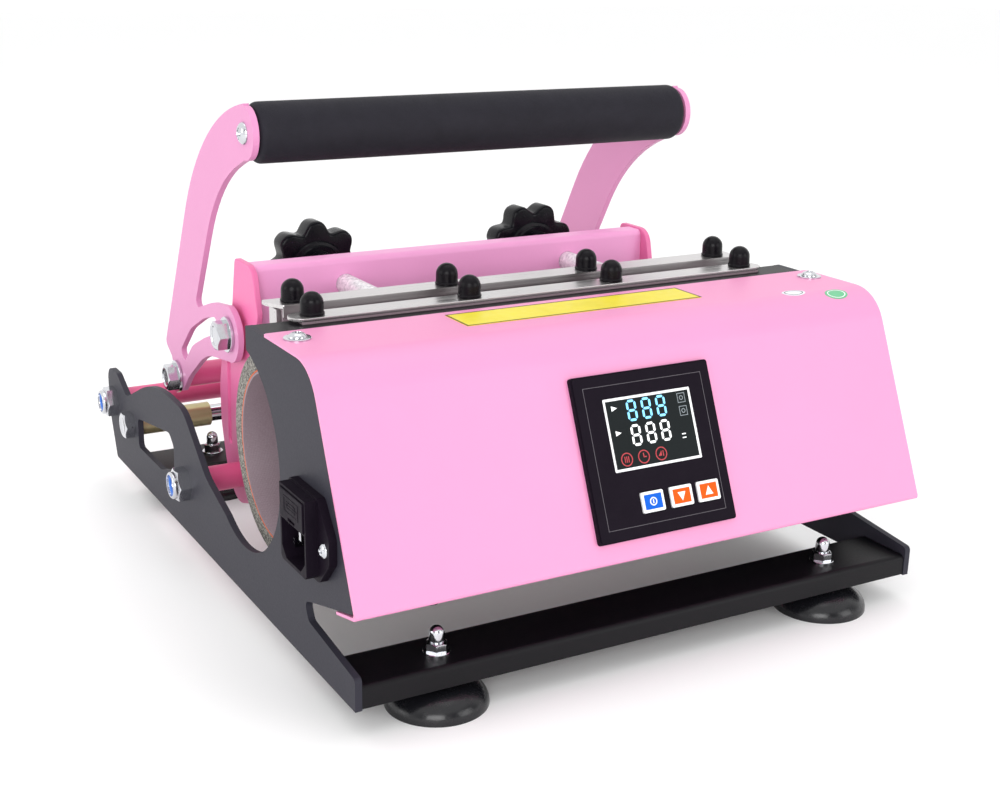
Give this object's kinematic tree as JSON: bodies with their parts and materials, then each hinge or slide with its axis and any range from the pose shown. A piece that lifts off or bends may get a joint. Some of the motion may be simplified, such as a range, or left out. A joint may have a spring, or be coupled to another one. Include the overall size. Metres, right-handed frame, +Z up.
{
  "type": "mug heat press",
  "caption": "Clamp-round heat press for mugs and tumblers: heated sleeve, sloping control box, toggle handle with foam grip, on suction feet.",
  "frame": {"origin": "on the table, midway between the sides and midway between the front of the front feet and the rear of the side plates", "axes": "+Z up, the control panel faces -Y, +X to the right of someone who faces the panel, the mains inlet on the -X side"},
  "size_m": [0.303, 0.3539, 0.2272],
  "materials": {
    "charcoal_steel": "satin",
    "black_steel": "satin",
    "pink_coat": "satin",
    "deep_pink_coat": "satin",
    "zinc_plate": "bright",
    "stainless": "brushed",
    "yellow_zinc": "satin",
    "black_rubber": "gloss",
    "grip_foam": "matte",
    "sponge": "matte",
    "silicone": "satin",
    "black_gloss": "gloss",
    "black_plastic": "satin",
    "screen": "gloss",
    "button_blue": "satin",
    "button_orange": "satin",
    "board_green": "satin",
    "white_plastic": "satin",
    "galvanised": "satin",
    "label_yellow": "satin",
    "label_white": "satin"
  },
  "bodies": {
    "frame": {"left_side_plate": "charcoal_steel", "right_side_plate": "charcoal_steel", "front_base_channel": "black_steel", "rear_base_channel": "black_steel", "top_shelf": "black_steel", "heat_shield": "galvanised", "bottom_panel": "black_steel", "front_cover": "pink_coat", "cover_screws": "zinc_plate", "controller_bezel": "black_plastic", "controller_screen": "screen", "controller_housing": "black_plastic", "controller_board": "board_green", "relay_module": "white_plastic", "terminal_block": "white_plastic", "inlet_housing": "black_plastic", "inlet_pins": "zinc_plate", "inlet_screws": "zinc_plate", "front_clamp_rail": "stainless", "front_rail_bolts": "zinc_plate", "front_rail_caps": "black_rubber", "heater_front": "silicone", "sponge_front": "sponge", "suction_cups": "black_rubber", "foot_studs": "zinc_plate", "foot_nuts": "zinc_plate", "link_shaft": "zinc_plate", "swing_shaft": "zinc_plate", "shaft_nuts": "zinc_plate", "cross_shaft": "zinc_plate", "cross_shaft_sleeves": "yellow_zinc", "cross_shaft_bolts": "zinc_plate", "label_plate": "label_yellow", "oval_labels": "label_white"},
    "pusher": {"left_pusher_plate": "pink_coat", "right_pusher_plate": "pink_coat", "pusher_bar": "pink_coat", "pusher_tube": "deep_pink_coat", "lug_bolts": "zinc_plate"},
    "handle": {"left_handle_arm": "pink_coat", "right_handle_arm": "pink_coat", "grip_tube": "deep_pink_coat", "grip_foam": "grip_foam", "grip_screws": "zinc_plate"},
    "link": {"link_rear_tube": "deep_pink_coat", "link_front_tube": "deep_pink_coat", "link_plates": "deep_pink_coat", "link_bolts": "zinc_plate"},
    "clamp": {"rear_clamp_rail": "stainless", "rear_rail_bolts": "zinc_plate", "rear_rail_caps": "black_rubber", "adjusting_rods": "stainless", "heater_rear": "silicone", "sponge_rear": "sponge"},
    "left_knob": {"left_star_knob": "black_gloss"},
    "right_knob": {"right_star_knob": "black_gloss"},
    "set_key": {"set_button": "button_blue"},
    "down_key": {"down_button": "button_orange"},
    "up_key": {"up_button": "button_orange"},
    "fuse_tray": {"fuse_drawer": "black_plastic"}
  },
  "joints": [
    {"name": "pusher_swing", "type": "hinge", "parent": "frame", "child": "pusher", "pos_m": [0, 0.0354, 0.0392], "axis": [-1, 0, 0], "range_deg": [0, 8.45]},
    {"name": "handle_hinge", "type": "hinge", "parent": "pusher", "child": "handle", "pos_m": [0, 0.0334, 0.1127], "axis": [-1, 0, 0], "range_deg": [0, 9.9]},
    {"name": "link_swing", "type": "hinge", "parent": "frame", "child": "link", "pos_m": [0, 0.1639, 0.0467], "axis": [1, 0, 0], "range_deg": [0, 32.2]},
    {"name": "left_knob_turn", "type": "hinge", "parent": "pusher", "child": "left_knob", "pos_m": [-0.0635, 0.0454, 0.1358], "axis": [0, -1, 0], "range_deg": [-361, 722]},
    {"name": "right_knob_turn", "type": "hinge", "parent": "pusher", "child": "right_knob", "pos_m": [0.0635, 0.0454, 0.1358], "axis": [0, -1, 0], "range_deg": [-361, 722]},
    {"name": "clamp_adjust", "type": "slide", "parent": "pusher", "child": "clamp", "axis": [0, 1, 0], "range_m": [-0.00125, 0.0025]},
    {"name": "set_press", "type": "slide", "parent": "frame", "child": "set_key", "axis": [0, 0.9184, -0.3955], "range_m": [0, 0.0005], "stiffness_N_per_m": 600, "springref_m": -0.0005},
    {"name": "down_press", "type": "slide", "parent": "frame", "child": "down_key", "axis": [0, 0.9184, -0.3955], "range_m": [0, 0.0005], "stiffness_N_per_m": 600, "springref_m": -0.0005},
    {"name": "up_press", "type": "slide", "parent": "frame", "child": "up_key", "axis": [0, 0.9184, -0.3955], "range_m": [0, 0.0005], "stiffness_N_per_m": 600, "springref_m": -0.0005},
    {"name": "fuse_tray_slide", "type": "slide", "parent": "frame", "child": "fuse_tray", "axis": [-1, 0, 0], "range_m": [0, 0.018]}
  ],
  "couplings": [
    {"joint": "handle_hinge", "follows": "pusher_swing", "ratio": 1.1598},
    {"joint": "link_swing", "follows": "pusher_swing", "ratio": 3.7869},
    {"joint": "left_knob_turn", "follows": "clamp_adjust", "rad_per_m": 5027.9},
    {"joint": "right_knob_turn", "follows": "clamp_adjust", "rad_per_m": 5027.9}
  ]
}
